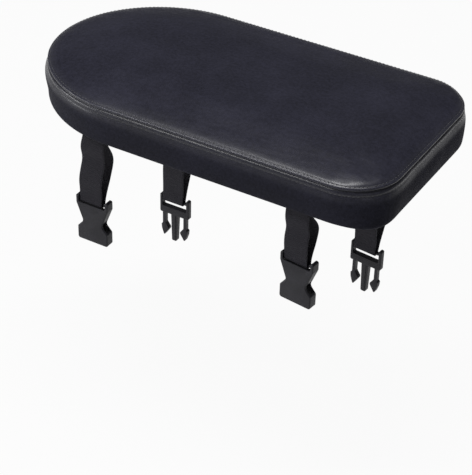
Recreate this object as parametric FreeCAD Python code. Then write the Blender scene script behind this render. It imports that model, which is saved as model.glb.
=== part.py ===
import FreeCAD, Part
import math
import os
from collections import namedtuple

V = FreeCAD.Vector
UP = V(0, 0, 1)

# All sizes are in millimetres and angles in degrees. The origin is the middle of the flat underside,
# +X points to the square front end and +Z up, so the straps hang below z = 0.

# Plan of the cushion: square front end, rounded rear end
cushion_length = 310.0
cushion_width = 170.0
corner_radius = 38.0
least_corner = 1.0
rear_end_length = 92.0
nose_half_angle = 38.0

# Side view of the cushion
seam_height = 30.0
crown_rise = 12.0
crown_run = 60.0
crown_sweep = 66.0
crown_steps = 2
seam_tuck = 0.6
bottom_bevel = 4.0

# Layers, from the underside up
lining_thickness = 0.4
cover_thickness = 1.0
board_thickness = 8.0
layer_gap = 0.05
side_gap = 0.6
foam_gap = 0.4

# Underside: the cover is turned under as a hem, and the lining laps over the hem's inner edge
lining_inset = 25.0
staple_edge_margin = 4.5

# Staples: flat wire, bent to a crown and two legs
staple_crown = 10.0
staple_leg = 5.0
staple_wire_width = 0.9
staple_wire_thickness = 0.6
staple_pitch = 30.0
staple_slot_clearance = 0.3
strap_staple_margin = 13.0
strap_staple_gap = 6.0
strap_staple_spread = 5.0
strap_staple_tip_cover = 0.5

# Webbing loops
web_width = 20.0
web_thickness = 1.2
web_fold_radius = 0.85
web_straight = 4.0
web_bend_step = 15.0
anchor_inset = 15.0
tail_margin = 5.0
slit_clearance = 0.4
rebate_clearance = 1.0

# Buckle parts that both halves share
bar_diameter = 3.0
bar_clearance = 0.15
bar_slide = 1.6
strap_slot_side_clearance = 2.0
arm_width = 2.4
arm_top = 4.0
arm_top_round = 1.2
slot_corner = 1.0
bar_seat = 0.8

# Socket half of the buckle
socket_thickness = 7.8
socket_length = 29.5
socket_wall = 1.3
socket_bevel = 0.7
socket_slot_height = 4.6
lip_drop = 2.0
lip_thickness = 0.7
waist_half_width = 8.3
waist_rise = 5.7
waist_round = 4.0
mouth_block = 11.2
mouth_half_width = 13.6
mouth_corner = 2.0
shoulder_round = 1.8
taper_drop = 3.0
taper_round = 3.0
cavity_end_half_width = 7.4
cavity_end_gap = 1.0
cavity_corner = 1.5
window_rise = 2.0

# Prong half of the buckle
base_thickness = 5.0
base_height = 6.8
base_corner = 1.4
base_bevel = 0.6
prong_slot_height = 6.0
prong_length = 23.9
prong_play = 0.5
prong_side_clearance = 0.6
prong_root = 1.0
stem_width = 2.6
latch_clearance = 0.5
latch_reach = 1.3
latch_slope = 1.0
latch_root_round = 0.4
latch_round = 0.8
neck_rise = 1.0
neck_round = 2.4
leaf_belly_share = 0.35
leaf_inner_bulge = 3.8
leaf_inner_round = 2.4
leaf_outer_bulge = 0.9
leaf_outer_round = 3.0
leaf_skew = 1.0
leaf_tip_offset = 1.2
leaf_tip_round = 0.8
tongue_reach = 2.3
tongue_root_half_width = 3.3
tongue_tip_half_width = 2.3
tongue_tip_round = 1.2
tongue_rib_half_width = 1.1
tongue_rib_height = 0.4

# Strap loops: how far they sit from the cushion's ends, how far down each buckle's bar hangs, and how
# far the outer and inner legs stand off, at a share of the drop
rear_socket_setback = 73.5
rear_prong_setback = 67.0
front_setback = 66.0
rear_socket_drop = 63.0
front_socket_drop = 48.4
rear_prong_drop = 147.3
front_prong_drop = 128.4
socket_outer_belly = 3.0
socket_inner_belly = 9.5
socket_belly_share = 0.446
prong_outer_belly = 8.0
prong_inner_belly = 7.5
prong_belly_share = 0.7

# One strap: side is -1 for the right edge and 1 for the left, station is its slit along the seat, and
# its foot sways towards the rear
Strap = namedtuple("Strap", "name side station drop sway yaw outer_belly inner_belly belly_share")
rear_edge = -cushion_length / 2
front_station = cushion_length / 2 - front_setback
socket_bellies = (socket_outer_belly, socket_inner_belly, socket_belly_share)
prong_bellies = (prong_outer_belly, prong_inner_belly, prong_belly_share)
socket_straps = (
    Strap("rear_right", -1, rear_edge + rear_socket_setback, rear_socket_drop, 4.5, 0.0, *socket_bellies),
    Strap("front_right", -1, front_station, front_socket_drop, -1.5, -7.0, *socket_bellies),
)
prong_straps = (
    Strap("rear_left", 1, rear_edge + rear_prong_setback, rear_prong_drop, 14.5, 0.0, *prong_bellies),
    Strap("front_left", 1, front_station, front_prong_drop, 10.4, -6.0, *prong_bellies),
)
straps = socket_straps + prong_straps

# Heights and half sizes that follow from the values above
hem_bottom = lining_thickness + layer_gap
hem_top = hem_bottom + cover_thickness
board_bottom = hem_top + layer_gap
board_top = board_bottom + board_thickness
board_inset = cover_thickness + side_gap
staple_row_inset = lining_inset + staple_edge_margin
hem_edge_inset = staple_row_inset + staple_edge_margin
first_strap_staple = hem_edge_inset + strap_staple_margin
strap_staple_insets = (first_strap_staple, first_strap_staple + strap_staple_gap)
tail_inset = strap_staple_insets[1] + tail_margin
leg_offset = (web_thickness + layer_gap) / 2
lower_tail = board_bottom + web_thickness / 2
upper_tail = lower_tail + 2 * leg_offset
rebate_depth = 2 * (web_thickness + layer_gap)
wrap_radius = bar_diameter / 2 + bar_clearance + web_thickness / 2
slot_half_width = web_width / 2 + strap_slot_side_clearance
arm_half_width = slot_half_width + arm_width
socket_top = -(bar_diameter / 2 + socket_slot_height)
mouth = socket_top - socket_length
cavity_thickness = socket_thickness - 2 * socket_wall
cavity_half_width = mouth_half_width - socket_wall
base_top = -(bar_diameter / 2 + prong_slot_height)
base_bottom = base_top - base_height
tongue_length = prong_length + tongue_reach
prong_thickness = cavity_thickness - 2 * prong_play
stem_outer = cavity_half_width - prong_side_clearance
stem_inner = stem_outer - stem_width


def save(shape, node):
    """Write one node's STEP file."""
    shape.exportStep("parts/" + node + ".step")


def outline(inset, height):
    """The cushion's plan as a closed wire, drawn in by inset, at a height."""
    half_length = cushion_length / 2
    half_width = cushion_width / 2
    swing = math.radians(nose_half_angle)
    spread = (rear_end_length - half_width) / (math.sin(swing) + math.cos(swing) - 1)
    nose_radius = rear_end_length - spread * math.cos(swing)
    flank_radius = half_width + spread * math.sin(swing)

    round_off = max(corner_radius - inset, least_corner)
    corner = V(half_length - inset - round_off, half_width - inset - round_off, height)
    flank = V(rear_end_length - half_length, half_width - flank_radius, height)
    nose = V(nose_radius - half_length, 0, height)
    meeting = V(-math.cos(swing), math.sin(swing), 0)
    flank_way = (V(0, 1, 0) + meeting).normalize()

    def right(point):
        return V(point.x, -point.y, point.z)

    def both(edge_points):
        """The edge through these points, and its match on the right side."""
        return [Part.Arc(*points).toShape() for points in (edge_points, [right(p) for p in edge_points])]

    front_corner = corner + V(round_off, 0, 0)
    corner_middle = corner + V(1, 1, 0).normalize() * round_off
    side_front = corner + V(0, round_off, 0)
    side_rear = flank + V(0, flank_radius - inset, 0)
    flank_middle = flank + flank_way * (flank_radius - inset)
    flank_end = flank + meeting * (flank_radius - inset)
    tip = nose - V(nose_radius - inset, 0, 0)
    edges = both([front_corner, corner_middle, side_front]) + both([side_rear, flank_middle, flank_end])
    edges += [
        Part.makeLine(right(front_corner), front_corner),
        Part.makeLine(side_front, side_rear),
        Part.makeLine(right(side_rear), right(side_front)),
        Part.Arc(flank_end, tip, right(flank_end)).toShape(),
    ]
    return Part.Wire(Part.__sortEdges__(edges))


def slab(inset, bottom, thickness):
    """A flat plate with the cushion's plan."""
    return Part.Face(outline(inset, bottom)).extrude(UP * thickness)


def lofted(profile):
    """A solid through the plan outlines of a side profile, given as (inset, height) pairs."""
    return Part.makeLoft([outline(inset, height) for inset, height in profile], True, True)


def eased(block):
    """The same block with its lower edge bevelled."""
    top_of_floor = block.BoundBox.ZMin + layer_gap
    return block.makeChamfer(bottom_bevel, [e for e in block.Edges if e.BoundBox.ZMax < top_of_floor])


def wall(depth):
    """A solid with the band's form up to the seam, at a depth inside its outer face."""
    bottom = hem_bottom + depth
    return eased(slab(depth, bottom, seam_height - bottom))


def crown_profile(depth):
    """Side profile of the crowned top, at a depth inside its outer face."""
    profile = []
    full = math.radians(crown_sweep)
    for i in range(crown_steps + 1):
        swing = full * i / crown_steps
        inset = depth + seam_tuck + (crown_run - depth) * (1 - math.cos(swing))
        profile.append((inset, seam_height + (crown_rise - depth) * math.sin(swing) / math.sin(full)))
    return profile


def top_panel():
    return lofted(crown_profile(0)).cut(lofted(crown_profile(cover_thickness)))


def side_band():
    """The band with its turned-under hem, slit where each strap comes out."""
    opening = slab(hem_edge_inset, hem_bottom - layer_gap, cover_thickness + 2 * layer_gap)
    slits = [placed(strap_slit(), strap) for strap in straps]
    return wall(0).cut([wall(cover_thickness), opening] + slits)


def foam_pad():
    depth = cover_thickness + foam_gap
    return slab(depth, board_top, seam_height - board_top).fuse(lofted(crown_profile(depth)))


def base_board():
    """The board, with an eased lower edge and a rebate for each strap's tails."""
    board = eased(slab(board_inset, board_bottom, board_thickness))
    return board.cut([placed(strap_rebate(), strap) for strap in straps])


def bottom_lining():
    lining = slab(lining_inset, 0, lining_thickness)
    return lining.cut(staple_row(staple_slot()))


def straight(start, end):
    """One straight stretch of a strip's path, as points with their normals."""
    along = (end - start).normalize()
    normal = V(0, -along.z, along.y)
    return [(start, normal), (end, normal)]


def bend(centre, radius, first, last):
    """One round stretch of a strip's path, between two angles, without its first point."""
    sense = 1 if last > first else -1
    steps = max(2, math.ceil(abs(last - first) / web_bend_step))
    path = []
    for i in range(1, steps + 1):
        angle = math.radians(first + (last - first) * i / steps)
        spoke = V(0, math.cos(angle), math.sin(angle))
        path.append((centre + spoke * radius, spoke * -sense))
    return path


def ease(start, end):
    """Two equal bends from one upright stretch down to another."""
    drop = start.z - end.z
    shift = end.y - start.y
    radius = (drop**2 + shift**2) / (4 * abs(shift))
    turn = math.degrees(math.asin(drop / (2 * radius)))
    reach = V(0, math.copysign(radius, shift), 0)
    if shift > 0:
        return bend(start + reach, radius, 180, 180 + turn) + bend(end - reach, radius, turn, 0)
    return bend(start + reach, radius, 0, -turn) + bend(end - reach, radius, 180 - turn, 180)


def strip(path, slant=0):
    """A length of webbing whose middle follows a path in the YZ plane, and slants along X as it drops."""
    half = web_thickness / 2
    left = [point + normal * half for point, normal in path]
    right = [point - normal * half for point, normal in path]
    corners = [corner - V(slant * corner.z, 0, 0) for corner in left + right[::-1]]
    shape = Part.Face(Part.makePolygon(corners + corners[:1])).extrude(V(web_width, 0, 0))
    shape.translate(V(-web_width / 2, 0, 0))
    return shape


def box(low, high):
    """A block between two corners."""
    size = high - low
    return Part.makeBox(size.x, size.y, size.z, low)


def placed(shape, strap):
    """Move a shape from a strap's own frame, +Y inwards from its slit, to its place on the cushion."""
    moved = shape.copy()
    moved.rotate(V(), UP, strap.yaw + (180 if strap.side > 0 else 0))
    moved.translate(V(strap.station, strap.side * (cushion_width / 2 - anchor_inset), 0))
    return moved


def strap_slit():
    half = V(web_width / 2 + slit_clearance, 2 * leg_offset + slit_clearance, 0)
    return box(V(0, 0, hem_bottom - layer_gap) - half, V(0, 0, hem_top + layer_gap) + half)


def strap_rebate():
    half_width = web_width / 2 + rebate_clearance
    outer = 2 * leg_offset + rebate_clearance
    inner = tail_inset - anchor_inset + rebate_clearance
    low = V(-half_width, -outer, board_bottom - layer_gap)
    return box(low, V(half_width, inner, board_bottom + rebate_depth))


def strap_leg(offset, belly, bar_side, strap):
    """Path of one leg, from its slit down over its belly to the side of the bar."""
    top = V(0, offset, 0)
    hang = V(0, offset, -web_straight)
    widest = V(0, belly, -strap.drop * strap.belly_share)
    foot = V(0, bar_side, -strap.drop)
    return straight(top, hang) + ease(hang, widest) + ease(widest, foot)


def strap_tail(offset, height, radius):
    """Path of one tail, from below its slit up and inwards under the board."""
    centre = V(0, leg_offset + web_fold_radius, height - radius)
    foot = V(0, offset, -web_straight)
    end = V(0, tail_inset - anchor_inset, height)
    return straight(foot, V(0, offset, centre.z)) + bend(centre, radius, 180, 90) + [(end, V(0, 0, 1))]


def strap_loop(strap):
    """One webbing loop: two stacked tails, two legs, and the fold round the buckle's bar."""
    outer = strap_leg(-leg_offset, -strap.outer_belly, -wrap_radius, strap)
    inner = strap_leg(leg_offset, strap.inner_belly, wrap_radius, strap)
    wrap = bend(V(0, 0, -strap.drop), wrap_radius, 180, 360)
    back = [(point, normal * -1) for point, normal in inner[-2::-1]]
    loop = strip(outer + wrap + back, strap.side * strap.sway / strap.drop)
    upper = strap_tail(-leg_offset, upper_tail, web_fold_radius + 2 * leg_offset)
    lower = strap_tail(leg_offset, lower_tail, web_fold_radius)
    return placed(loop.fuse([strip(upper), strip(lower)]).removeSplitter(), strap)


def staple(leg):
    """One staple, its crown on z = 0 along X and its two legs up."""
    half = V(staple_crown / 2, staple_wire_width / 2, 0)
    inside = V(half.x - staple_wire_thickness, staple_wire_width, 0)
    blank = box(half * -1, half + UP * leg)
    return blank.cut(box(UP * staple_wire_thickness - inside, UP * 2 * leg + inside))


def staple_slot():
    """The slot that a staple's crown presses into the lining."""
    half = V(staple_crown / 2, staple_wire_width / 2, 0) + V(1, 1, 0) * staple_slot_clearance
    return box(UP * -layer_gap - half, UP * (lining_thickness + layer_gap) + half)


def staple_row(shape):
    """Copies of a shape along the lining's edge, left out where a strap's tails lie."""
    row = outline(staple_row_inset, 0)
    count = round(row.Length / staple_pitch)
    points = row.discretize(Number=count + 1)
    keep_clear = (web_width + staple_crown) / 2 + rebate_clearance
    copies = []
    for here, after in zip(points[:-1], points[1:]):
        middle = (here + after) * 0.5
        along = after - here
        on_side = abs(middle.y) > cushion_width / 2 - tail_inset
        if on_side and min(abs(middle.x - strap.station) for strap in straps) < keep_clear:
            continue
        copy = shape.copy()
        copy.rotate(V(), UP, math.degrees(math.atan2(along.y, along.x)))
        copy.translate(middle)
        copies.append(copy)
    return copies


def lining_staples():
    return Part.makeCompound(staple_row(staple(board_bottom + staple_leg)))


def strap_staples():
    """The staples that hold each strap's tails up into the board, crowns across the webbing."""
    crown = board_bottom - layer_gap - staple_wire_thickness
    leg = board_top - strap_staple_tip_cover - crown
    shapes = []
    for strap in straps:
        for inset in strap_staple_insets:
            for spread in (-strap_staple_spread, strap_staple_spread):
                shape = staple(leg)
                shape.translate(V(spread, inset - anchor_inset, crown))
                shapes.append(placed(shape, strap))
    return Part.makeCompound(shapes)


def rounded_face(corners, depth):
    """A flat face in the plane y = depth, its corners given as (x, z, radius)."""
    count = len(corners)
    spots = [V(x, depth, z) for x, z, _ in corners]
    rounds = []
    for i, (_, _, radius) in enumerate(corners):
        into = (spots[i - 1] - spots[i]).normalize()
        out = (spots[(i + 1) % count] - spots[i]).normalize()
        half = into.getAngle(out) / 2
        inward = (into + out).normalize()
        reach = radius / math.tan(half)
        middle = spots[i] + inward * (radius / math.sin(half) - radius)
        rounds.append((spots[i] + into * reach, middle, spots[i] + out * reach))
    edges = []
    for i, (first, middle, last) in enumerate(rounds):
        if corners[i][2]:
            edges.append(Part.Arc(first, middle, last).toShape())
        edges.append(Part.makeLine(last, rounds[(i + 1) % count][0]))
    return Part.Face(Part.Wire(edges))


def mirrored(right_half):
    """A closed outline from the corners of its right half, given from top to bottom."""
    return right_half + [(-x, z, radius) for x, z, radius in right_half[::-1]]


def plate(corners, thickness):
    """A flat plate centred on y = 0 with this outline."""
    return rounded_face(corners, -thickness / 2).extrude(V(0, thickness, 0))


def moulding(corners, thickness, bevel):
    """A plate with bevelled front and back edges."""
    blank = plate(corners, thickness)
    return blank.makeChamfer(bevel, [e for e in blank.Edges if e.BoundBox.YLength < bevel])


def slot(bottom, thickness):
    """The strap's slot between the two side arms, open at the top, down to a height."""
    sides = [(slot_half_width, 2 * arm_top, 0), (slot_half_width, bottom, slot_corner)]
    return plate(mirrored(sides), thickness)


def strap_bar():
    """The bar across the slot, at the origin, seated in both arms."""
    half = slot_half_width + bar_seat
    return Part.makeCylinder(bar_diameter / 2, 2 * half, V(-half, 0, 0), V(1, 0, 0))


def socket_buckle():
    """The socket half: a flat shell with a waist, a window in each side and an open mouth."""
    shape = [
        (arm_half_width, arm_top, arm_top_round),
        (arm_half_width, -taper_drop, taper_round),
        (waist_half_width, mouth + mouth_block + waist_rise, waist_round),
        (mouth_half_width, mouth + mouth_block, shoulder_round),
        (mouth_half_width, mouth, mouth_corner),
    ]
    cavity = [
        (cavity_end_half_width, mouth + tongue_length + cavity_end_gap, cavity_corner),
        (cavity_half_width, mouth + mouth_block + window_rise, cavity_corner),
        (cavity_half_width, mouth - socket_wall, 0),
    ]
    behind_lip = slot(socket_top, socket_thickness)
    behind_lip.translate(V(0, lip_thickness, 0))
    openings = [plate(mirrored(cavity), cavity_thickness), slot(-lip_drop, 2 * socket_thickness), behind_lip]
    shell = moulding(mirrored(shape), socket_thickness, socket_bevel).cut(openings)
    return shell.fuse(strap_bar()).removeSplitter()


def prong():
    """One sprung prong: a stem, a latch that catches behind the mouth, and a leaf-shaped head."""
    root = base_bottom + prong_root
    latch = base_bottom - mouth_block - latch_clearance
    tip = base_bottom - prong_length
    belly = latch + (tip - latch) * leaf_belly_share
    corners = [
        (stem_inner, root, 0),
        (stem_outer, root, 0),
        (stem_outer, latch, latch_root_round),
        (stem_outer + latch_reach, latch - latch_slope, latch_round),
        (stem_outer + leaf_outer_bulge, belly - leaf_skew, leaf_outer_round),
        (stem_inner + leaf_tip_offset, tip, leaf_tip_round),
        (stem_inner - leaf_inner_bulge, belly, leaf_inner_round),
        (stem_inner, latch + neck_rise, neck_round),
    ]
    return plate(corners, prong_thickness)


def tongue():
    """The middle guide, tapered to a round tip, with a rib down each face."""
    root = base_bottom + prong_root
    tip = base_bottom - tongue_length
    shape = [(tongue_root_half_width, root, 0), (tongue_tip_half_width, tip, tongue_tip_round)]
    blade = plate(mirrored(shape), prong_thickness)
    half = V(tongue_rib_half_width, prong_thickness / 2 + tongue_rib_height, 0)
    return blade.fuse(box(UP * (tip + tongue_tip_half_width) - half, UP * root + half))


def prong_buckle():
    """The prong half: a base with the strap's bar, a middle tongue and two sprung prongs."""
    shape = [(arm_half_width, arm_top, arm_top_round), (arm_half_width, base_bottom, base_corner)]
    base = moulding(mirrored(shape), base_thickness, base_bevel)
    right = prong()
    left = right.mirror(V(), V(1, 0, 0))
    frame = base.cut(slot(base_top, 2 * base_thickness))
    return frame.fuse([strap_bar(), tongue(), left, right]).removeSplitter()


def hung(buckle, strap):
    """A buckle half in place, with its bar in the fold of its strap."""
    lowered = buckle.copy()
    lowered.translate(V(strap.side * (strap.sway - bar_slide), 0, -strap.drop))
    return placed(lowered, strap)


os.makedirs("parts", exist_ok=True)
save(top_panel(), "top_panel")
save(side_band(), "side_band")
save(foam_pad(), "foam_pad")
save(base_board(), "base_board")
save(bottom_lining(), "bottom_lining")
save(lining_staples(), "lining_staples")
save(strap_staples(), "strap_staples")
for strap in straps:
    save(strap_loop(strap), strap.name + "_strap")
for strap in socket_straps:
    save(hung(socket_buckle(), strap), strap.name + "_socket_buckle")
for strap in prong_straps:
    save(hung(prong_buckle(), strap), strap.name + "_prong_buckle")
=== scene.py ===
import math

import bmesh
import bpy
import numpy as np
from bpy.props import FloatProperty, FloatVectorProperty, PointerProperty
from mathutils import Matrix, Vector, noise


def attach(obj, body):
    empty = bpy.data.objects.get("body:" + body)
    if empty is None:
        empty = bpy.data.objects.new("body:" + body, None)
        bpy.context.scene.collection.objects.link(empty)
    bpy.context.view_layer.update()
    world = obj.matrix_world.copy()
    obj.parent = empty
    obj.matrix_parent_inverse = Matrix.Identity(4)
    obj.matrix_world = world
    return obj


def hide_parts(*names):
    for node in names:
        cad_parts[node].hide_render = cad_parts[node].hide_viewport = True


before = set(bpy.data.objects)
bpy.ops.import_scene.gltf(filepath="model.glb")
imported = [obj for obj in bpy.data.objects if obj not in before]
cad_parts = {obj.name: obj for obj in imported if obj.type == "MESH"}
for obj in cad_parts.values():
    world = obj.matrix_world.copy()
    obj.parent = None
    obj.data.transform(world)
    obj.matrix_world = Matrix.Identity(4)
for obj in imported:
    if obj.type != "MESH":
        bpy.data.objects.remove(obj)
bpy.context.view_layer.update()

bl_info = {
    "name": "Rear rack cushion seat",
    "version": (1, 0, 0),
    "blender": (4, 5, 0),
    "location": "3D View > Sidebar > Rack seat",
    "description": "Dresses the rack seat: sewn cover, stitches, webbing, buckles, lining and stage",
    "category": "Object",
}

MM = 0.001
WELD_GAP = 1e-6
SEAT = "seat"


def length(name, about, millimetres):
    """A length that can be set in the sidebar."""
    return FloatProperty(
        name=name, description=about, default=millimetres * MM, unit="LENGTH", precision=5
    )


def colour(name, about, value):
    """A colour that can be set in the sidebar."""
    return FloatVectorProperty(
        name=name, description=about, default=value, size=3, min=0.0, max=1.0, subtype="COLOR"
    )


class SeatSizes(bpy.types.PropertyGroup):
    """Sizes of the sewn and woven pieces."""

    half_length: length("Half length", "From the middle of the cushion to either end", 155.0)
    half_width: length("Half width", "From the middle of the cushion to either side", 85.0)
    corner_radius: length("Corner radius", "Rounding of the square end's corners", 38.0)
    rear_end: length("Rounded end", "Length of the rounded rear end", 92.0)
    nose_angle: FloatProperty(
        name="Nose angle",
        description="Half the turn of the rounded end's middle arc",
        default=math.radians(38.0),
        subtype="ANGLE",
    )
    crown: length("Crown height", "Top of the cushion's middle", 42.0)
    swell_cap: length("Swell cap", "Farthest that the filling moves the cover", 1.2)
    stitch_pitch: length("Stitch pitch", "From one stitch to the next", 3.2)
    thread: length("Thread", "Thickness of the sewing thread", 0.55)
    web_width: length("Webbing width", "Width of the straps", 20.0)
    web_thickness: length("Webbing thickness", "Thickness of the straps", 1.2)
    selvedge: length("Selvedge", "Rounding of the straps' edges", 0.3)
    buckle_edge: length("Buckle edge", "Rounding of the buckles' moulded edges", 0.45)
    lining_inset: length("Lining inset", "From the cushion's edge to the lining's edge", 25.0)
    lining_thickness: length("Lining thickness", "Thickness of the bottom lining", 0.22)


class SeatColours(bpy.types.PropertyGroup):
    """Colours of the materials."""

    cover: colour("Cover", "Imitation leather", (0.0144, 0.0144, 0.0232))
    webbing: colour("Webbing", "Woven straps", (0.0215, 0.0205, 0.0262))
    buckle: colour("Buckle", "Moulded plastic", (0.0155, 0.015, 0.0195))
    lining: colour("Lining", "Non-woven bottom cloth", (0.016, 0.016, 0.018))
    thread: colour("Thread", "Sewing thread", (0.024, 0.024, 0.029))
    staple: colour("Staple", "Staple wire", (0.55, 0.55, 0.53))
    board: colour("Board", "Plywood", (0.5, 0.34, 0.19))
    floor: colour("Floor", "Studio floor", (0.42, 0.42, 0.42))


class Value:
    """A number that varies over a surface: sums on it add Math nodes."""

    def __init__(self, finish, socket):
        self.finish = finish
        self.socket = socket

    def math(self, operation, *others):
        return self.finish.add("ShaderNodeMath", {"operation": operation}, (self, *others))

    def __add__(self, other):
        return self.math("ADD", other)

    def __radd__(self, other):
        return self.math("ADD", other)

    def __sub__(self, other):
        return self.math("SUBTRACT", other)

    def __rsub__(self, other):
        return self.finish.add("ShaderNodeMath", {"operation": "SUBTRACT"}, (other, self))

    def __mul__(self, other):
        return self.math("MULTIPLY", other)

    def __truediv__(self, other):
        return self.math("DIVIDE", other)

    def __pow__(self, other):
        return self.math("POWER", other)

    def __abs__(self):
        return self.math("ABSOLUTE")


class Finish:
    """A material under construction."""

    SOCKETS = {
        "colour": "Base Color",
        "roughness": "Roughness",
        "normal": "Normal",
        "metallic": "Metallic",
        "coat": "Coat Weight",
    }

    def __init__(self, name):
        self.material = bpy.data.materials.new(name)
        self.material.use_nodes = True
        self.nodes = self.material.node_tree.nodes
        self.links = self.material.node_tree.links
        self.shader = self.nodes["Principled BSDF"]

    def add(self, kind, settings=None, inputs=(), output=0):
        """Add a node, its settings first, then its sockets' values or links, and give one output."""
        node = self.nodes.new(kind)
        for key, value in (settings or {}).items():
            setattr(node, key, value)
        self.feed(node, inputs)
        return Value(self, node.outputs[output])

    def feed(self, node, inputs):
        pairs = inputs.items() if isinstance(inputs, dict) else enumerate(inputs)
        for key, value in pairs:
            if isinstance(value, Value):
                self.links.new(value.socket, node.inputs[key])
            else:
                node.inputs[key].default_value = value

    def coords(self, kind="Object"):
        return self.add("ShaderNodeTexCoord", output=kind)

    def parts(self, vector):
        node = self.nodes.new("ShaderNodeSeparateXYZ")
        self.links.new(vector.socket, node.inputs[0])
        return [Value(self, socket) for socket in node.outputs]

    def mix(self, share, first, second):
        """A colour between two colours."""
        inputs = {0: share, 6: first, 7: second}
        return self.add("ShaderNodeMix", {"data_type": "RGBA"}, inputs, output=2)

    def clouds(self, vector, scale, detail=3.0, roughness=0.5):
        inputs = {"Vector": vector, "Scale": scale, "Detail": detail, "Roughness": roughness}
        return self.add("ShaderNodeTexNoise", None, inputs)

    def ramp(self, value, low, high):
        """0 below low, 1 above high, smooth between."""
        settings = {"interpolation_type": "SMOOTHSTEP"}
        return self.add("ShaderNodeMapRange", settings, {0: value, 1: low, 2: high, 3: 0.0, 4: 1.0})

    def bump(self, height, depth, under=None):
        inputs = {"Height": height, "Strength": 1.0, "Distance": depth}
        if under is not None:
            inputs["Normal"] = under
        return self.add("ShaderNodeBump", None, inputs)

    def done(self, **sockets):
        """Feed the shader's sockets and give the material."""
        self.feed(self.shader, {self.SOCKETS[key]: value for key, value in sockets.items()})
        return self.material


def rgba(colour_property, factor):
    """A colour made darker or lighter by a factor."""
    return tuple(min(1.0, c * factor) for c in colour_property) + (1.0,)


def cover_leather(colours):
    """Imitation leather: grain, drawn streaks, gathers at the seam with a painted highlight on their
    crests, and a glossier stretched rim.
    """
    make = Finish("cover_leather")
    place = make.coords()
    pebbles = make.add(
        "ShaderNodeTexVoronoi", {"feature": "DISTANCE_TO_EDGE"}, {"Vector": place, "Scale": 850.0}
    )
    pebble = make.ramp(pebbles, 0.0, 0.28)
    pores = make.clouds(place, 2600.0, 2.0)
    creases = make.clouds(place, 70.0, 4.0, 0.6)
    drawn = make.add("ShaderNodeMapping", None, {"Vector": place, "Scale": (0.32, 1.0, 1.0)})
    streaks = make.clouds(drawn, 42.0, 3.0)
    wear = make.ramp(make.clouds(place, 22.0, 5.0, 0.62), 0.35, 0.75)
    round_edge, up_side, _ = make.parts(make.coords("UV"))
    low = SEAM_ROW / (len(PROFILE) - 1)
    high = TOP_STITCH_ROW / (len(PROFILE) - 1)
    welt = make.ramp(up_side, low, low + 0.03) * (1 - make.ramp(up_side, high - 0.03, high))
    gathers = ((round_edge * GATHERS + up_side * 6.0) * (2 * math.pi)).math("SINE") * 0.5 + 0.5
    mottle = make.ramp(make.clouds(place, 420.0, 2.0), 0.3, 0.7)
    dark = rgba(colours.cover, 0.5)
    light = rgba(colours.cover, 1.55)
    # The welt gathers' crests are painted lighter: a painted highlight. Wear, pebbles and mottle are
    # the leather's own random tone.
    tone = make.mix(wear * 0.3 + pebble * 0.3 + mottle * 0.25 + welt * gathers * 0.4, dark, light)
    slow = make.bump(streaks, 1.5 * MM)
    folds = make.bump(creases * 0.16 + welt * gathers * 0.12, MM, slow)
    grain = make.bump(pebble * 0.8 + pores * 0.35, 0.03 * MM, folds)
    _, _, height = make.parts(place)
    lower = 1 - make.ramp(height, 18 * MM, 26 * MM)
    rim = make.ramp(height, 20.5 * MM, 26.5 * MM) * (1 - make.ramp(height, 33 * MM, 35.5 * MM))
    gloss = 0.36 + lower * 0.38 + wear * 0.06 + (1 - pebble) * 0.08
    make.shader.inputs["Specular IOR Level"].default_value = 0.13
    make.shader.inputs["Coat Roughness"].default_value = 0.3
    shine = rim * 0.65 * (0.6 + pebble * 0.4)
    return make.done(colour=tone, roughness=gloss, normal=grain, coat=shine)


def sewing_thread(colours):
    """Twisted thread."""
    make = Finish("sewing_thread")
    place = make.coords()
    twist = make.clouds(place, 2200.0, 2.0)
    tone = make.mix(twist, rgba(colours.thread, 0.7), rgba(colours.thread, 1.6))
    return make.done(colour=tone, roughness=0.5 + twist * 0.2, normal=make.bump(twist, 0.08 * MM))


def woven_webbing(colours):
    """Plain woven strap, its yarns laid out on the strap's own map in millimetres; the raised yarns are
    painted lighter and the hollows between them darker, as painted shade.
    """
    make = Finish("woven_webbing")
    across, along, _ = make.parts(make.coords("UV"))
    warp = 1.05
    weft = 1.7
    lane = (across / warp).math("FLOOR")
    yarn = abs((across * (math.pi / warp)).math("SINE"))
    shift = lane.math("MODULO", 2.0) * math.pi
    over = (along * (2 * math.pi / weft) + shift).math("SINE") * 0.5 + 0.5
    height = yarn ** 0.6 * (over * 0.62 + 0.38)
    edge = make.ramp(abs(across), 9.0, 9.5)
    fuzz = make.clouds(make.coords(), 3200.0, 2.0)
    dirt = make.clouds(make.coords(), 90.0, 3.0)
    relief = height * (1 - edge * 0.5) + fuzz * 0.25
    dark = rgba(colours.webbing, 0.45)
    light = rgba(colours.webbing, 1.6)
    # Painted shade: the tone follows the weave's relief, lighter on the raised yarns and darker in the
    # hollows between them. Dirt is random tone.
    tone = make.mix(height * 0.75 + dirt * 0.25, dark, light)
    normal = make.bump(relief, 0.28 * MM)
    make.shader.inputs["Specular IOR Level"].default_value = 0.15
    return make.done(colour=tone, roughness=0.62 + fuzz * 0.2, normal=normal)


def moulded_plastic(colours):
    """Fine spark-eroded grain with slightly rubbed patches."""
    make = Finish("moulded_plastic")
    place = make.coords()
    grain = make.clouds(place, 3800.0, 3.0, 0.6)
    flow = make.clouds(place, 120.0, 3.0)
    rub = make.ramp(flow, 0.4, 0.7)
    tone = make.mix(rub * 0.6 + grain * 0.4, rgba(colours.buckle, 0.8), rgba(colours.buckle, 1.3))
    normal = make.bump(grain, 0.05 * MM, make.bump(flow, 0.1 * MM))
    make.shader.inputs["Specular IOR Level"].default_value = 0.25
    return make.done(colour=tone, roughness=0.4 + grain * 0.16, normal=normal)


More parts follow.
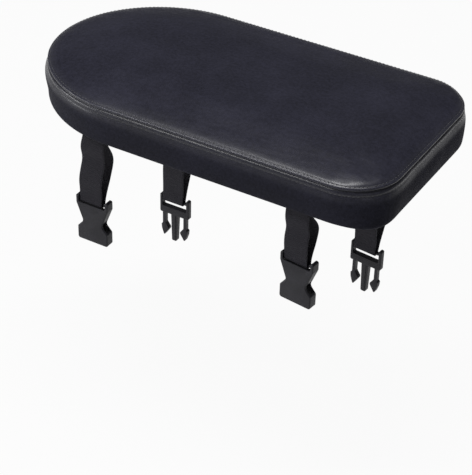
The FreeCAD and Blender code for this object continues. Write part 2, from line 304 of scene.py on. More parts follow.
def lining_cloth(colours):
    """Non-woven cloth with pressed dots and loose fibres."""
    make = Finish("lining_cloth")
    place = make.coords()
    x, y, _ = make.parts(place)
    pitch = 2 * math.pi / (2.2 * MM)
    dots = (x * pitch).math("SINE") * (y * pitch).math("SINE")
    dot = make.ramp(dots, 0.35, 0.75)
    fibres = make.clouds(place, 900.0, 4.0, 0.7)
    tone = make.mix(fibres * 0.7 + dot * 0.3, rgba(colours.lining, 0.6), rgba(colours.lining, 1.8))
    relief = fibres * 0.7 - dot * 0.9
    return make.done(colour=tone, roughness=0.78 + fibres * 0.15, normal=make.bump(relief, 0.15 * MM))


def staple_wire(colours):
    """Drawn steel wire with faint lengthwise lines."""
    make = Finish("staple_wire")
    stretched = make.add(
        "ShaderNodeMapping", None, {"Vector": make.coords(), "Scale": (1.0, 1.0, 9.0)}
    )
    lines = make.clouds(stretched, 1500.0, 3.0)
    tone = make.mix(lines, rgba(colours.staple, 0.75), rgba(colours.staple, 1.1))
    normal = make.bump(lines, 0.02 * MM)
    return make.done(colour=tone, roughness=0.28 + lines * 0.2, metallic=1.0, normal=normal)


def plywood(colours):
    """Layered board with grain along the seat."""
    make = Finish("plywood")
    stretched = make.add(
        "ShaderNodeMapping", None, {"Vector": make.coords(), "Scale": (0.12, 1.0, 1.0)}
    )
    grain = make.clouds(stretched, 320.0, 5.0, 0.65)
    _, _, z = make.parts(make.coords())
    layers = (z * (2 * math.pi / (3.2 * MM))).math("SINE") * 0.5 + 0.5
    tone = make.mix(grain * 0.6 + layers * 0.4, rgba(colours.board, 0.55), rgba(colours.board, 1.25))
    return make.done(colour=tone, roughness=0.6 + grain * 0.2, normal=make.bump(grain, 0.1 * MM))


def material(name, recipe):
    """The named material, made on first use."""
    found = bpy.data.materials.get(name)
    return found or recipe(bpy.context.scene.seat_colours)


def wear_material(piece, recipe):
    piece.data.materials.clear()
    piece.data.materials.append(material(recipe.__name__, recipe))


def deselect():
    if bpy.context.object and bpy.context.object.mode != "OBJECT":
        bpy.ops.object.mode_set(mode="OBJECT")
    bpy.ops.object.select_all(action="DESELECT")


def pick(piece):
    """Make a piece the only one selected, and the active one."""
    deselect()
    piece.select_set(True)
    bpy.context.view_layer.objects.active = piece


def apply_modifier(piece, name, kind, **settings):
    """Add a modifier to a piece and apply it."""
    pick(piece)
    modifier = piece.modifiers.new(name, kind)
    for key, value in settings.items():
        setattr(modifier, key, value)
    bpy.ops.object.modifier_apply(modifier=name)


def round_edges(piece, width, segments, angle):
    """Round the edges that are sharper than an angle in degrees."""
    apply_modifier(
        piece,
        "round_edges",
        "BEVEL",
        width=width,
        segments=segments,
        limit_method="ANGLE",
        angle_limit=math.radians(angle),
    )


def grid_piece(name, columns, rows, place):
    """Add a grid and move each of its points to place(column, row)."""
    deselect()
    bpy.ops.mesh.primitive_grid_add(x_subdivisions=columns, y_subdivisions=rows, size=2.0)
    piece = bpy.context.object
    piece.name = piece.data.name = name
    for vertex in piece.data.vertices:
        column = round((vertex.co.x + 1) / 2 * columns)
        row = round((vertex.co.y + 1) / 2 * rows)
        vertex.co = place(column, row)
    return piece


def edit(piece):
    pick(piece)
    bpy.ops.object.mode_set(mode="EDIT")
    bpy.ops.mesh.select_all(action="DESELECT")
    return bmesh.from_edit_mesh(piece.data)


def leave_edit():
    bpy.ops.object.mode_set(mode="OBJECT")


def weld(piece):
    """Merge doubled points and turn all faces outwards."""
    edit(piece)
    bpy.ops.mesh.select_all(action="SELECT")
    bpy.ops.mesh.remove_doubles(threshold=WELD_GAP)
    bpy.ops.mesh.normals_make_consistent(inside=False)
    leave_edit()


def fill_rim(piece, test):
    """Close the rim whose edges' middles pass a test with a grid of faces."""
    for e in edit(piece).edges:
        if e.is_boundary and test((e.verts[0].co + e.verts[1].co) / 2):
            e.select_set(True)
    if "FINISHED" not in bpy.ops.mesh.fill_grid(span=FRONT_SPAN, offset=0):
        raise RuntimeError("A rim of " + piece.name + " can't be filled")
    leave_edit()


class Plan:
    """The cushion's plan: points and outward normals round its edge, from the front's middle."""

    def __init__(self, sizes, count):
        spread = (sizes.rear_end - sizes.half_width) / (
            math.sin(sizes.nose_angle) + math.cos(sizes.nose_angle) - 1
        )
        nose = sizes.rear_end - spread * math.cos(sizes.nose_angle)
        flank = sizes.half_width + spread * math.sin(sizes.nose_angle)
        turn = sizes.rear_end - sizes.half_length
        front = sizes.half_length - sizes.corner_radius
        side = sizes.half_width - sizes.corner_radius
        quarter = math.pi / 2
        meet = math.pi - sizes.nose_angle
        self.stretches = [
            ("line", Vector((sizes.half_length, 0)), Vector((0, 1)), Vector((1, 0)), side),
            ("arc", Vector((front, side)), sizes.corner_radius, 0.0, quarter),
            ("line", Vector((front, sizes.half_width)), Vector((-1, 0)), Vector((0, 1)), front - turn),
            ("arc", Vector((turn, sizes.half_width - flank)), flank, quarter, meet),
            ("arc", Vector((nose - sizes.half_length, 0)), nose, meet, math.pi),
        ]
        self.half_round = sum(self.span(stretch) for stretch in self.stretches)
        self.round = 2 * self.half_round
        self.count = count

    def span(self, stretch):
        if stretch[0] == "line":
            return stretch[4]
        return stretch[2] * (stretch[4] - stretch[3])

    def at(self, distance):
        """The point and outward normal at a distance along the edge, left side first."""
        distance = distance % self.round
        mirror = distance > self.half_round
        left = self.round - distance if mirror else distance
        for stretch in self.stretches:
            span = self.span(stretch)
            if left <= span or stretch is self.stretches[-1]:
                break
            left -= span
        if stretch[0] == "line":
            point = stretch[1] + stretch[2] * left
            normal = stretch[3].copy()
        else:
            angle = stretch[3] + left / stretch[2]
            normal = Vector((math.cos(angle), math.sin(angle)))
            point = stretch[1] + normal * stretch[2]
        if mirror:
            point.y = -point.y
            normal.y = -normal.y
        return point, normal

    def station(self, column):
        return self.round * (column % self.count) / self.count

    def spot(self, distance, inset, height):
        """A point drawn in from the edge, at a height, in metres."""
        point, normal = self.at(distance)
        inner = point - normal * inset
        return Vector((inner.x, inner.y, height))


# Side view of the sewn cover, as inset from the plan's edge and height in millimetres: the turned-under
# hem, the band, the band's stitch row, the seam, the top panel's folded edge and stitch row, the crown
HEM = ((33.8, 1.35), (34.0, 0.9), (33.4, 0.5), (30.5, 0.45), (26.5, 0.45), (22.0, 0.45), (17.5, 0.45))
HEM += ((13.0, 0.45), (8.8, 0.46), (5.7, 0.52), (3.6, 0.8), (1.9, 1.5), (0.75, 2.7), (0.1, 4.5))
BAND = ((-0.25, 7.0), (-0.5, 9.8), (-0.65, 12.5), (-0.75, 15.2), (-0.8, 17.6), (-0.75, 19.8))
BAND += ((-0.55, 21.9), (-0.2, 23.8), (0.2, 25.3))
BAND_STITCH = ((0.85, 26.4),)
BAND_EDGE = ((0.6, 27.15), (0.75, 28.0), (1.1, 28.8), (1.6, 29.35))
SEAM = ((2.1, 29.75),)
WELT = ((1.4, 30.2), (1.05, 30.8), (1.2, 31.6), (1.7, 32.3))
TOP_STITCH = ((2.85, 32.7),)
CROWN = ((3.4, 33.4), (4.6, 34.5), (6.4, 35.65), (8.7, 36.75), (11.4, 37.7), (14.6, 38.6))
CROWN += ((18.4, 39.35), (22.2, 40.0), (26.0, 40.5), (30.0, 40.9))
PROFILE = HEM + BAND + BAND_STITCH + BAND_EDGE + SEAM + WELT + TOP_STITCH + CROWN
# Points round the edge, gathers round the welt, and columns across the front of a filled rim
COLUMNS = 264
GATHERS = 410
FRONT_SPAN = 48
# A height between the underside and the top, and the insets past which a filled middle begins
HALF_WAY = 20 * MM
UNDERSIDE_INSET = 34.1 * MM
CROWN_INSET = 29.8 * MM
# Over what inset in millimetres the crown goes on rising, and above what height it is drawn smooth
CROWN_REACH = 48.0
SMOOTH_ABOVE = 37 * MM
# Where the pleats gather under a square corner, how far they reach, and the middle of its rounding,
# in metres
PLEAT_SPOT = (0.147, 0.076)
PLEAT_REACH = 0.045
CORNER_MIDDLE = (0.117, 0.047)
# How high the foot of the cover flares and how far in from the edge, in millimetres
FOOT_HEIGHT = 6.0
FLARE_REACH = 12.0
# Length, width and height of the box that cuts a strap's slit, and the height of its middle
SLIT = (21.0 * MM, 3.3 * MM, 2.4 * MM)
SLIT_HEIGHT = 0.6 * MM
# Frames that the cloth runs for
CLOTH_STEPS = 20
FIRST_FREE = len(HEM)
BAND_STITCH_ROW = len(HEM + BAND)
SEAM_ROW = BAND_STITCH_ROW + len(BAND_STITCH + BAND_EDGE)
TOP_STITCH_ROW = SEAM_ROW + len(SEAM + WELT)
CROWN_ROW = TOP_STITCH_ROW + 1


def pucker(distance, row, plan):
    """How far the sewn edge draws in and out, in metres: small gathers along the stitch rows."""
    reach = min(abs(row - TOP_STITCH_ROW), abs(row - BAND_STITCH_ROW))
    if row < FIRST_FREE or reach == 0 or row == SEAM_ROW:
        return 0.0
    fade = math.exp(-((reach / 3.5) ** 2))
    _, normal = plan.at(distance)
    square = max(0.0, normal.x) ** 2
    fine = noise.noise(Vector((distance * 120.0, row * 0.16, 3.0)))
    wide = noise.noise(Vector((distance * 42.0, row * 0.1, 9.0)))
    return (fine * 0.22 + wide * 0.3) * (0.45 + 0.9 * square) * fade * MM


def flare(distance, inset, height, plan):
    """How far the filled cover stands out past its plan at its ends and corners, in metres."""
    _, normal = plan.at(distance)
    rear = max(0.0, -normal.x)
    front = max(0.0, normal.x)
    left = max(0.0, normal.y)
    corner = (2 * front * normal.y) ** 2
    share = min(1.0, height / PROFILE[SEAM_ROW][1])
    low = 1 - share
    roll = math.exp(-(((share - 0.72) / 0.2) ** 2))
    foot = max(0.0, 1 - height / FOOT_HEIGHT)
    near_edge = max(0.0, 1 - inset / FLARE_REACH)
    whole = 2.2 * rear * rear + 0.9 * left * left - 0.8 * corner * left
    ends = rear * (1.4 * roll - 1.6 * low + 3.0 * foot) + front * (0.5 * low + 0.3 * foot)
    corners = corner * low * (7.0 * front if normal.y < 0 else -0.3)
    return (whole + ends + corners) * near_edge * MM


def cover_spot(distance, row, plan):
    """A point of the sewn cover before it is filled, by its distance round the edge and its row."""
    inset, height = PROFILE[row]
    spot = plan.spot(distance, inset * MM, height * MM)
    _, normal = plan.at(distance)
    out = Vector((normal.x, normal.y, 0.0))
    swing = pucker(distance, row, plan) + corner_pleats(spot, row)
    reach = swing + flare(distance, max(0.0, inset), height, plan)
    return spot + out * reach + Vector((0, 0, swing / 2))


def corner_pleats(point, row):
    """Slanted creases in the band under the square end's corners."""
    if not FIRST_FREE < row < BAND_STITCH_ROW:
        return 0.0
    height = PROFILE[row][1] / 30.0
    crease = 0.0
    for side in (-1, 1):
        away = (Vector((point.x, point.y)) - Vector((PLEAT_SPOT[0], side * PLEAT_SPOT[1]))).length
        if away < PLEAT_REACH:
            near = 1 - away / PLEAT_REACH
            swing = math.atan2(point.y * side - CORNER_MIDDLE[1], point.x - CORNER_MIDDLE[0])
            crease += near * near * math.sin(swing * 26.0 + height * 3.0) * height * 0.45 * MM
    return crease


def crown_height(inset, sizes):
    """Height of the cushion's top at an inset, in metres."""
    edge_inset, edge_height = CROWN[-1]
    share = min(1.0, max(0.0, (inset / MM - edge_inset) / CROWN_REACH))
    return edge_height * MM + (sizes.crown - edge_height * MM) * (1 - (1 - share) ** 2)


def swell(piece, pinned, cap):
    """Blow the cover up a little with cloth, with the sewn rows held, and cap how far it moves."""
    group = piece.vertex_groups.new(name="sewn")
    group.add(pinned, 1.0, "REPLACE")
    start = [v.co.copy() for v in piece.data.vertices]
    pick(piece)
    cloth = piece.modifiers.new("swell", "CLOTH")
    cloth.settings.quality = 6
    cloth.settings.vertex_group_mass = "sewn"
    cloth.settings.use_pressure = True
    cloth.settings.uniform_pressure_force = 4.0
    cloth.settings.effector_weights.gravity = 0.0
    cloth.point_cache.frame_start = 1
    cloth.point_cache.frame_end = CLOTH_STEPS
    for step in range(1, CLOTH_STEPS + 1):
        bpy.context.scene.frame_set(step)
    bpy.ops.object.modifier_apply(modifier="swell")
    bpy.context.scene.frame_set(1)
    for vertex, origin in zip(piece.data.vertices, start):
        move = vertex.co - origin
        if move.length > cap:
            vertex.co = origin + move * (cap / move.length)
    free = {"vertex_group": "sewn", "invert_vertex_group": True}
    apply_modifier(piece, "settle", "SMOOTH", factor=0.5, iterations=5, **free)
    piece.vertex_groups.clear()


class SEAT_OT_cushion(bpy.types.Operator):
    """Sew and fill the cushion: top panel, side band and turned-under hem in one closed form"""

    bl_idname = "seat.cushion"
    bl_label = "Cushion"

    def execute(self, context):
        sizes = context.scene.seat_sizes
        plan = Plan(sizes, COLUMNS)

        def place(column, row):
            return cover_spot(plan.station(column), row, plan)

        cover = grid_piece("cushion_cover", COLUMNS, len(PROFILE) - 1, place)
        weld(cover)
        fill_rim(cover, lambda middle: middle.z > HALF_WAY)
        fill_rim(cover, lambda middle: middle.z < HALF_WAY)
        weld(cover)
        self.raise_crown(cover, plan, sizes)
        swell(cover, self.sewn(cover), sizes.swell_cap)
        self.ease_crown(cover)
        apply_modifier(cover, "soften", "SUBSURF", levels=1, render_levels=1)
        self.cut_slits(cover)
        pick(cover)
        bpy.ops.object.shade_smooth_by_angle(angle=math.radians(60))
        wear_material(cover, cover_leather)
        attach(cover, SEAT)
        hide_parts("top_panel", "side_band", "foam_pad")
        return {"FINISHED"}

    def raise_crown(self, cover, plan, sizes):
        """Lift the top panel's filled middle into a gentle crown, and lay the underside's flat."""
        edge = np.array([plan.at(plan.station(c))[0] for c in range(COLUMNS)])
        for vertex in cover.data.vertices:
            inset = np.min(np.hypot(edge[:, 0] - vertex.co.x, edge[:, 1] - vertex.co.y))
            if vertex.co.z < HALF_WAY:
                if inset > UNDERSIDE_INSET:
                    vertex.co.z = HEM[0][1] * MM
            elif inset > CROWN_INSET:
                wave = noise.noise(Vector((vertex.co.x * 17.0, vertex.co.y * 26.0, 1.5)))
                wave *= 0.35 * MM * min(1.0, inset / (40 * MM))
                vertex.co.z = crown_height(inset, sizes) + wave

    def ease_crown(self, cover):
        """Draw the middle of the top panel smooth."""
        crown = cover.vertex_groups.new(name="crown")
        crown.add([v.index for v in cover.data.vertices if v.co.z > SMOOTH_ABOVE], 1.0, "REPLACE")
        apply_modifier(cover, "ease", "SMOOTH", factor=0.5, iterations=50, vertex_group="crown")
        cover.vertex_groups.clear()

    def sewn(self, cover):
        """The points that the board and the thread hold: the hem, and from stitch row to stitch row."""
        hem = PROFILE[FIRST_FREE - 1][1] * MM
        low = PROFILE[BAND_STITCH_ROW][1] * MM
        high = PROFILE[CROWN_ROW][1] * MM
        slack = 0.15 * MM
        heights = ((v.index, v.co.z) for v in cover.data.vertices)
        return [i for i, z in heights if z < hem + slack or low - slack < z < high + slack]

    def cut_slits(self, cover):
        """Cut the slit that each strap comes out of."""
        slits = []
        for strap in STRAPS:
            deselect()
            bpy.ops.mesh.primitive_cube_add(size=1.0)
            slit = bpy.context.object
            slit.data.transform(Matrix.Diagonal((*SLIT, 1.0)))
            slit.data.transform(strap.flat @ Matrix.Translation((0, 0, SLIT_HEIGHT)))
            slits.append(slit)
        pick(slits[0])
        for slit in slits:
            slit.select_set(True)
        bpy.ops.object.join()
        cutter = bpy.context.object
        apply_modifier(cover, "slits", "BOOLEAN", object=cutter, operation="DIFFERENCE", solver="EXACT")
        bpy.data.objects.remove(cutter)


class SEAT_OT_stitches(bpy.types.Operator):
    """Lay the two rows of stitches along the seam"""

    bl_idname = "seat.stitches"
    bl_label = "Stitches"

    def execute(self, context):
        sizes = context.scene.seat_sizes
        plan = Plan(sizes, COLUMNS)
        stitch = self.one_stitch(sizes)
        rows = (
            (BAND_STITCH_ROW, 0.15, Vector((1.0, -0.1))),
            (TOP_STITCH_ROW, 0.4, Vector((0.62, 0.78))),
        )
        gathered = bmesh.new()
        count = round(plan.round / sizes.stitch_pitch)
        for row, proud, outward in rows:
            for i in range(count):
                distance = plan.round * (i + 0.5) / count
                _, normal = plan.at(distance)
                out = Vector((normal.x * outward.x, normal.y * outward.x, outward.y)).normalized()
                along = Vector((-normal.y, normal.x, 0.0))
                side = out.cross(along)
                spot = cover_spot(distance, row, plan) + out * sizes.thread * proud
                turn = Matrix((along, side, out)).transposed().to_4x4()
                copy = stitch.copy()
                copy.transform(Matrix.Translation(spot) @ turn)
                gathered.from_mesh(copy)
                bpy.data.meshes.remove(copy)
        bpy.data.meshes.remove(stitch)
        deselect()
        bpy.ops.mesh.primitive_circle_add(vertices=3)
        piece = bpy.context.object
        piece.name = piece.data.name = "seam_stitches"
        gathered.to_mesh(piece.data)
        gathered.free()
        pick(piece)
        bpy.ops.object.shade_smooth()
        wear_material(piece, sewing_thread)
        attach(piece, SEAT)
        return {"FINISHED"}

    def one_stitch(self, sizes):
        """One stitch along X: a thread that rises in the middle and dives at both ends."""
        half = sizes.stitch_pitch * 0.41
        deselect()
        bpy.ops.mesh.primitive_cylinder_add(
            vertices=6, radius=sizes.thread / 2, depth=2 * half, end_fill_type="TRIFAN"
        )
        piece = bpy.context.object
        mesh = edit(piece)
        for e in mesh.edges:
            if abs(e.verts[0].co.z - e.verts[1].co.z) > half:
                e.select_set(True)
        bpy.ops.mesh.subdivide(number_cuts=3)
        leave_edit()
        piece.data.transform(Matrix.Rotation(math.pi / 2, 4, "Y"))
        for vertex in piece.data.vertices:
            share = vertex.co.x / half
            vertex.co.z -= share * share * sizes.thread * 0.8
            if abs(share) > 0.9:
                vertex.co.y *= 0.7
        stitch = piece.data.copy()
        bpy.data.objects.remove(piece)
        return stitch


# Slit from the seat's middle, legs from the loop's middle, fold round the bar, straight start
SLIT_REACH = 70 * MM
LEG_OFFSET = 0.625 * MM
BAR_WRAP = 2.25 * MM
STRAIGHT_START = 4 * MM
# Points of a tail inwards from its slit, and height and bend of the two stacked tails, in millimetres
TAIL_REACHES = (43.0, 36.0, 29.0, 22.0, 15.0, 9.0, 4.5)
UPPER_TAIL = (3.35, 2.1)
LOWER_TAIL = (2.1, 0.85)
# Steps along a leg, round the bar and round a tail's bend
LEG_STEPS = 32
WRAP_STEPS = 12
BEND_STEPS = 6
# Folds in a leg, as place along it and reach in millimetres, and how long each one is
REAR_FOLDS = ((0.2, -2.2), (0.42, 2.1), (0.7, -1.2))
FRONT_FOLDS = ((0.24, -0.5), (0.48, 1.9), (0.75, -0.3))
FAR_FOLDS = ((0.4, -0.5), (0.62, 0.5))
INNER_FOLDS = ((0.3, 0.4), (0.6, -0.5))
FOLD_LENGTH = 0.11


class StrapRun:
    """One strap loop: its place, and the line that its webbing follows."""

    def __init__(self, name, side, station, drop, sway, yaw, bellies, share, folds):
        self.name = name
        self.side = side
        self.drop = drop * MM
        self.slant = side * sway / drop
        self.bellies = [belly * MM for belly in bellies]
        self.share = share
        self.folds = folds
        turn = Matrix.Rotation(math.radians(yaw + (180 if side > 0 else 0)), 4, "Z")
        self.flat = Matrix.Translation((station * MM, side * SLIT_REACH, 0)) @ turn

    def leg(self, offset, belly, bar, folds):
        """Points of one leg from its slit down to the side of the bar, as (y, z)."""
        points = []
        widest = self.drop * self.share
        for i in range(LEG_STEPS + 1):
            depth = STRAIGHT_START + (self.drop - STRAIGHT_START) * i / LEG_STEPS
            if depth < widest:
                share = (depth - STRAIGHT_START) / (widest - STRAIGHT_START)
                start, end = offset, belly
            else:
                share = (depth - widest) / (self.drop - widest)
                start, end = belly, bar
            ease = share * share * (3 - 2 * share)
            wave = sum(
                reach * math.exp(-(((depth / self.drop - place) / FOLD_LENGTH) ** 2))
                for place, reach in folds
            )
            points.append((start + (end - start) * ease + wave * MM, -depth))
        return points

    def line(self):
        """The whole webbing from one tail's end to the other's, as (y, z) in the strap's own frame."""
        outer = self.leg(-LEG_OFFSET, -self.bellies[0], -BAR_WRAP, self.folds)
        inner = self.leg(LEG_OFFSET, self.bellies[1], BAR_WRAP, INNER_FOLDS)
        wrap = []
        for i in range(1, WRAP_STEPS):
            angle = math.pi + math.pi * i / WRAP_STEPS
            wrap.append((BAR_WRAP * math.cos(angle), BAR_WRAP * math.sin(angle) - self.drop))
        upper_tail = self.tail(-LEG_OFFSET, *UPPER_TAIL)
        lower_tail = self.tail(LEG_OFFSET, *LOWER_TAIL)
        return upper_tail + outer + wrap + inner[::-1] + lower_tail[::-1]

    def tail(self, offset, height, radius):
        """Points of one tail, from its end under the board to its slit."""
        centre_y = LEG_OFFSET + LOWER_TAIL[1] * MM
        centre_z = (height - radius) * MM
        points = [(y * MM, height * MM) for y in TAIL_REACHES]
        for i in range(BEND_STEPS + 1):
            angle = math.radians(90 + 90 * i / BEND_STEPS)
            y = centre_y + radius * MM * math.cos(angle)
            z = centre_z + radius * MM * math.sin(angle)
            points.append((y, z))
        return points + [(offset, -0.6 * MM), (offset, -2.3 * MM)]

    def place(self, across, y, z):
        """From the strap's own frame to the seat: flat under the board, slanting where it hangs."""
        return self.flat @ Vector((across + max(0.0, -z) * self.slant, y, z))


# Name, side, station, drop, sway, yaw, bellies of the two legs, where they are widest, folds
STRAPS = (
    StrapRun("rear_right", -1, -81.5, 63.0, 4.5, 0.0, (3.0, 10.8), 0.47, REAR_FOLDS),
    StrapRun("front_right", -1, 89.0, 48.4, -1.5, -7.0, (2.4, 10.8), 0.5, FRONT_FOLDS),
    StrapRun("rear_left", 1, -88.0, 147.3, 14.5, 0.0, (8.0, 7.5), 0.7, FAR_FOLDS),
    StrapRun("front_left", 1, 89.0, 128.4, 10.4, -6.0, (8.0, 7.5), 0.7, FAR_FOLDS),
)


class SEAT_OT_straps(bpy.types.Operator):
    """Weave the four strap loops"""

    bl_idname = "seat.straps"
    bl_label = "Straps"

    def execute(self, context):
        sizes = context.scene.seat_sizes
        for strap in STRAPS:
            self.weave(strap, sizes)
        return {"FINISHED"}

    def weave(self, strap, sizes):
        line = strap.line()
        middle = [strap.place(0.0, y, z) for y, z in line]
        travelled = [0.0]
        for start, end in zip(middle[:-1], middle[1:]):
            travelled.append(travelled[-1] + (end - start).length)
        lanes = 10

        def place(column, row):
            across = (column / lanes - 0.5) * sizes.web_width
            return strap.place(across, *line[row])

        piece = grid_piece(strap.name + "_webbing", lanes, len(line) - 1, place)
        layer = piece.data.uv_layers.active.data
        for uv in layer:
            row = round(uv.uv.y * (len(line) - 1))
            across = (uv.uv.x - 0.5) * sizes.web_width / MM
            uv.uv = (across, travelled[row] / MM)
        apply_modifier(piece, "thicken", "SOLIDIFY", thickness=sizes.web_thickness, offset=0.0)
        round_edges(piece, sizes.selvedge, 2, 60)
        apply_modifier(piece, "soften", "SUBSURF", levels=1, render_levels=1)
        pick(piece)
        bpy.ops.object.shade_smooth()
        wear_material(piece, woven_webbing)
        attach(piece, SEAT)
        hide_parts(strap.name + "_strap")


class SEAT_OT_buckles(bpy.types.Operator):
    """Round and finish the moulded edges of the four buckle halves"""

    bl_idname = "seat.buckles"
    bl_label = "Buckles"

    def execute(self, context):
        for strap in STRAPS:
            kind = "socket" if strap.side < 0 else "prong"
            self.mould(strap.name + "_" + kind + "_buckle")
        return {"FINISHED"}

    def mould(self, node):
        piece = bpy.data.objects.new(node + "_moulded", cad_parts[node].data.copy())
        bpy.context.scene.collection.objects.link(piece)
        edit(piece)
        bpy.ops.mesh.select_all(action="SELECT")
        bpy.ops.mesh.remove_doubles(threshold=WELD_GAP)
        bpy.ops.mesh.dissolve_limited(angle_limit=math.radians(1.0))
        leave_edit()
        round_edges(piece, bpy.context.scene.seat_sizes.buckle_edge, 3, 32)
        pick(piece)
        bpy.ops.object.shade_smooth_by_angle(angle=math.radians(28))
        wear_material(piece, moulded_plastic)
        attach(piece, node + "_body")
        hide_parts(node)


# How far inside the lining's edge the rims part
RIM_PARTING = 5 * MM


class SEAT_OT_lining(bpy.types.Operator):
    """Stretch the bottom lining and finish the staples that hold it"""

    bl_idname = "seat.lining"
    bl_label = "Lining and staples"

    def execute(self, context):
        sizes = context.scene.seat_sizes
        plan = Plan(sizes, COLUMNS)
        insets = (0.0, 0.6, 2.0, 4.5, 7.5, 8.3, 11.0)
        heights = (0.30, 0.16, 0.16, 0.26, 0.20, 0.24, 0.22)

        def place(column, row):
            distance = plan.station(column)
            spot = plan.spot(distance, sizes.lining_inset + insets[row] * MM, heights[row] * MM)
            spot.z += noise.noise(Vector((distance * 90.0, row * 0.3, 5.0))) * 0.06 * MM
            return spot

        piece = grid_piece("bottom_lining_cloth", COLUMNS, len(insets) - 1, place)
        weld(piece)
        rim_points = len(piece.data.vertices)
        fill_rim(piece, lambda middle: self.inside(middle, plan, sizes))
        for vertex in piece.data.vertices[rim_points:]:
            slack = noise.noise(Vector((vertex.co.x * 28.0, vertex.co.y * 40.0, 7.0)))
            vertex.co.z = heights[-1] * MM + slack * 0.06 * MM
        apply_modifier(piece, "thicken", "SOLIDIFY", thickness=sizes.lining_thickness, offset=0.0)
        weld(piece)
        pick(piece)
        bpy.ops.object.shade_smooth_by_angle(angle=math.radians(50))
        wear_material(piece, lining_cloth)
        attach(piece, SEAT)
        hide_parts("bottom_lining")
        for node in ("lining_staples", "strap_staples"):
            wear_material(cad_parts[node], staple_wire)
        wear_material(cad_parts["base_board"], plywood)
        return {"FINISHED"}

    def inside(self, middle, plan, sizes):
        """Whether a rim point is on the inner rim."""
        spot = Vector((middle.x, middle.y))
        edge = min((spot - plan.at(plan.station(c))[0]).length for c in range(0, COLUMNS, 2))
        return edge > sizes.lining_inset + RIM_PARTING


# Height and width of the floor, how near white it looks, the world's strength and the backdrop's white
FLOOR_HEIGHT = -0.24
FLOOR_SIZE = 3.2
FLOOR_WHITE = 0.94
WORLD_STRENGTH = 0.18
BACKDROP = (0.95, 0.95, 0.95, 1.0)
# Soft lights: name, place, width and height in metres, and power in watts
LAMPS = (
    ("key_softbox", (-0.9, -1.2, 1.5), (0.5, 0.5), 14.0),
    ("top_softbox", (-0.1, -0.1, 1.7), (0.36, 1.1), 31.0),
    ("left_softbox", (-1.62, -1.02, 0.27), (1.2, 0.35), 15.0),
    ("fill_softbox", (1.6, -1.2, 0.9), (1.0, 1.0), 1.5),
)


def studio_floor(colours):
    """Pale floor: near white to the camera, see-through from below."""
    make = Finish("studio_floor")
    grain = make.clouds(make.coords(), 6.0, 3.0)
    tone = make.mix(grain, rgba(colours.floor, 0.985), rgba(colours.floor, 1.015))
    make.done(colour=tone, roughness=0.9)
    path = make.nodes.new("ShaderNodeLightPath")
    mirrored = Value(make, path.outputs["Is Glossy Ray"])
    seen = Value(make, path.outputs["Is Camera Ray"]).math("MAXIMUM", mirrored)
    seen = seen.math("MAXIMUM", Value(make, path.outputs["Is Transmission Ray"]))
    glow = make.add("ShaderNodeEmission", None, {"Color": (1.0, 1.0, 1.0, 1.0), "Strength": 1.0})
    matt = Value(make, make.shader.outputs[0])
    pale = make.add("ShaderNodeMixShader", None, {0: seen * FLOOR_WHITE, 1: matt, 2: glow})
    clear = make.add("ShaderNodeBsdfTransparent")
    back = make.add("ShaderNodeNewGeometry", output="Backfacing")
    whole = make.add("ShaderNodeMixShader", None, {0: back, 1: pale, 2: clear})
    make.links.new(whole.socket, make.nodes["Material Output"].inputs["Surface"])
    return make.material


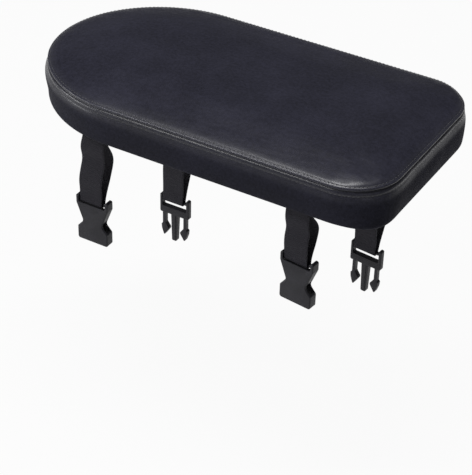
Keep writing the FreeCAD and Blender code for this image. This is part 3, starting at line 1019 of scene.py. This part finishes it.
class SEAT_OT_stage(bpy.types.Operator):
    """Set the floor, the soft lights and the camera"""

    bl_idname = "seat.stage"
    bl_label = "Stage"

    def execute(self, context):
        deselect()
        bpy.ops.mesh.primitive_plane_add(size=FLOOR_SIZE, location=(0.0, 0.0, FLOOR_HEIGHT))
        floor = context.object
        floor.name = "studio_floor"
        wear_material(floor, studio_floor)
        self.surround(context)
        for lamp in LAMPS:
            self.lamp(*lamp)
        self.camera(context)
        return {"FINISHED"}

    def surround(self, context):
        world = bpy.data.worlds.new("studio")
        context.scene.world = world
        world.use_nodes = True
        nodes = world.node_tree.nodes
        links = world.node_tree.links
        shade = nodes["Background"]
        shade.inputs["Strength"].default_value = WORLD_STRENGTH
        white = nodes.new("ShaderNodeBackground")
        white.inputs["Color"].default_value = BACKDROP
        shade.inputs["Color"].default_value = (1.0, 1.0, 1.0, 1.0)
        path = nodes.new("ShaderNodeLightPath")
        mix = nodes.new("ShaderNodeMixShader")
        links.new(path.outputs["Is Camera Ray"], mix.inputs[0])
        links.new(shade.outputs[0], mix.inputs[1])
        links.new(white.outputs[0], mix.inputs[2])
        links.new(mix.outputs[0], nodes["World Output"].inputs["Surface"])

    def lamp(self, name, place, size, power):
        data = bpy.data.lights.new(name, "AREA")
        data.shape = "RECTANGLE"
        data.size, data.size_y = size
        data.energy = power
        lamp = bpy.data.objects.new(name, data)
        bpy.context.scene.collection.objects.link(lamp)
        lamp.location = place
        lamp.rotation_euler = (-Vector(place)).to_track_quat("-Z", "Y").to_euler()

    def camera(self, context):
        data = bpy.data.cameras.new("photo_camera")
        data.sensor_fit = "HORIZONTAL"
        data.sensor_width = 36.0
        data.lens = 122.96
        data.clip_start = 0.05
        data.clip_end = 50.0
        camera = bpy.data.objects.new("photo_camera", data)
        context.scene.collection.objects.link(camera)
        right = Vector((0.85841939, 0.51241668, 0.02335172))
        up = Vector((-0.31243067, 0.4862051, 0.81608313))
        back = Vector((0.40682088, -0.70783738, 0.57746257))
        turn = Matrix((right, up, back)).transposed().to_4x4()
        camera.matrix_world = Matrix.Translation((0.510898, -0.889721, 0.620122)) @ turn
        context.scene.camera = camera


class SEAT_PT_sidebar(bpy.types.Panel):
    """Lists the seat's sizes, colours and steps"""

    bl_label = "Rack seat"
    bl_idname = "SEAT_PT_sidebar"
    bl_space_type = "VIEW_3D"
    bl_region_type = "UI"
    bl_category = "Rack seat"

    def draw(self, context):
        for group in (context.scene.seat_sizes, context.scene.seat_colours):
            for key in group.__annotations__:
                self.layout.prop(group, key)
        for step in STEPS:
            self.layout.operator(step.bl_idname)


STEPS = (
    SEAT_OT_cushion,
    SEAT_OT_stitches,
    SEAT_OT_lining,
    SEAT_OT_straps,
    SEAT_OT_buckles,
    SEAT_OT_stage,
)
CLASSES = (SeatSizes, SeatColours, *STEPS, SEAT_PT_sidebar)


def register():
    for each in CLASSES:
        bpy.utils.register_class(each)
    bpy.types.Scene.seat_sizes = PointerProperty(type=SeatSizes)
    bpy.types.Scene.seat_colours = PointerProperty(type=SeatColours)


def unregister():
    del bpy.types.Scene.seat_colours
    del bpy.types.Scene.seat_sizes
    for each in reversed(CLASSES):
        bpy.utils.unregister_class(each)


def main():
    register()
    bpy.context.scene.view_settings.view_transform = "Standard"
    bpy.ops.seat.cushion()
    bpy.ops.seat.stitches()
    bpy.ops.seat.lining()
    bpy.ops.seat.straps()
    bpy.ops.seat.buckles()
    bpy.ops.seat.stage()


if __name__ == "__main__":
    main()
